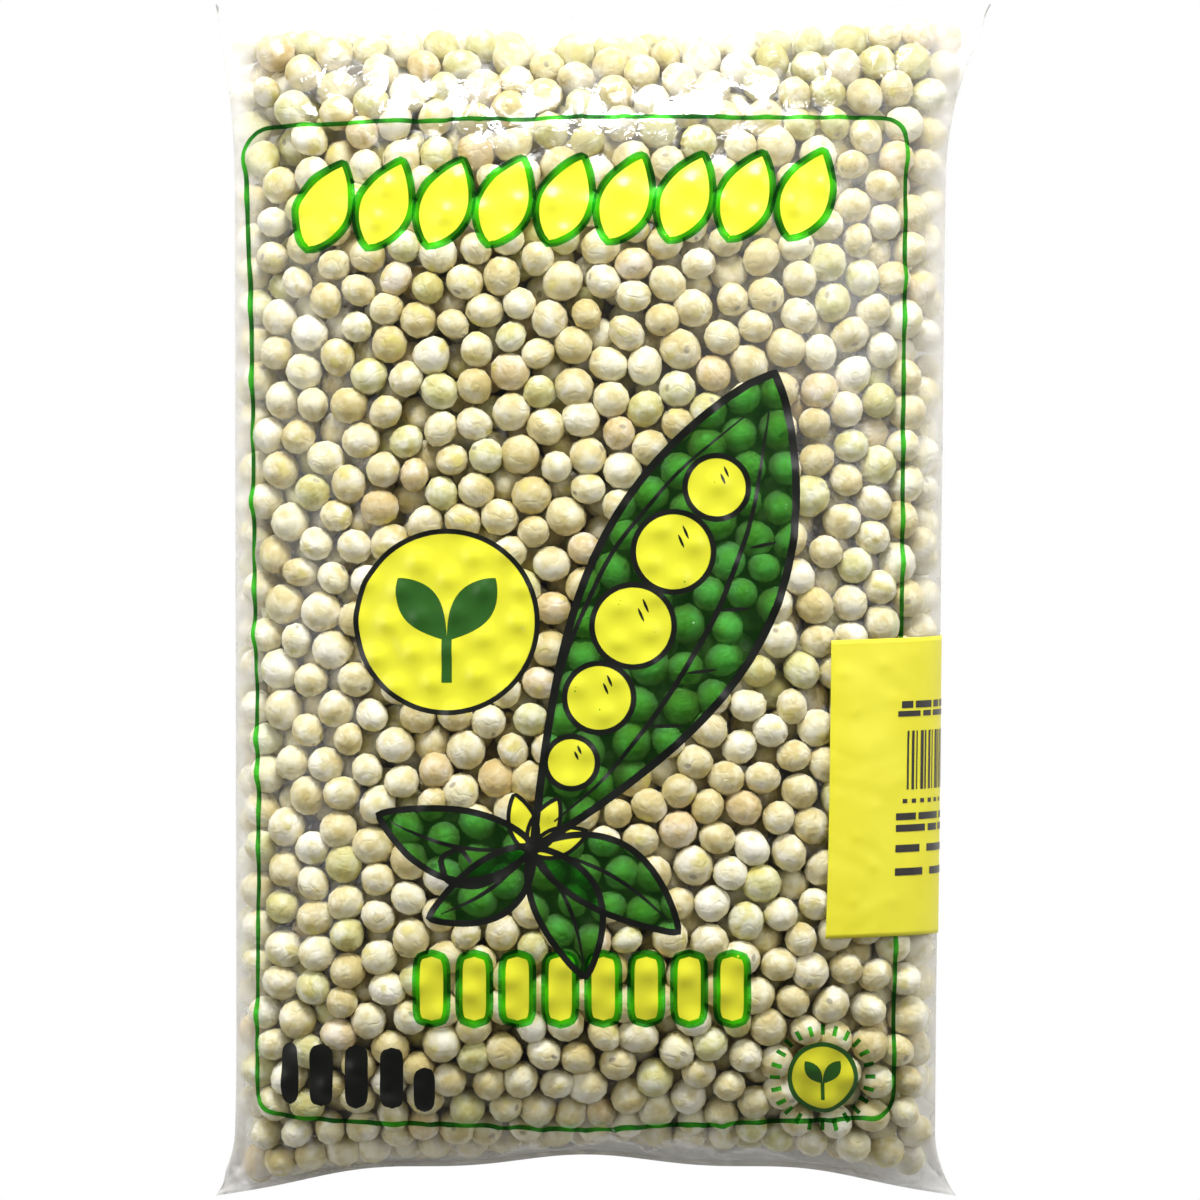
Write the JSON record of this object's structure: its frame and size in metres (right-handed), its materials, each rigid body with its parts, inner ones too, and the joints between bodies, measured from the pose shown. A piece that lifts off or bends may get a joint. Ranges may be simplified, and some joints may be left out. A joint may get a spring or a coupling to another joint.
{
  "type": "bag of dried peas",
  "caption": "Clear film pillow bag packed tight with dried peas, sealed flat across both ends, with a yellow paper label stuck round its right side.",
  "frame": {"origin": "on the table, under the middle of the bag's outline", "axes": "+X to the right across the bag, +Y along the bag towards its top seal, +Z out of the printed front"},
  "size_m": [0.1678, 0.258, 0.0424],
  "materials": {
    "film": "clear glossy packing film with a faint milky haze",
    "peas": "dried peas, cream to pale green, matt with a faint waxy sheen",
    "label": "yellow paper label, smooth and matt",
    "green_ink": "green printing ink on glossy film",
    "yellow_ink": "yellow printing ink on glossy film",
    "black_ink": "black printing ink on glossy film"
  },
  "bodies": {
    "root": {"bag": "film", "label": "label"}
  },
  "joints": []
}
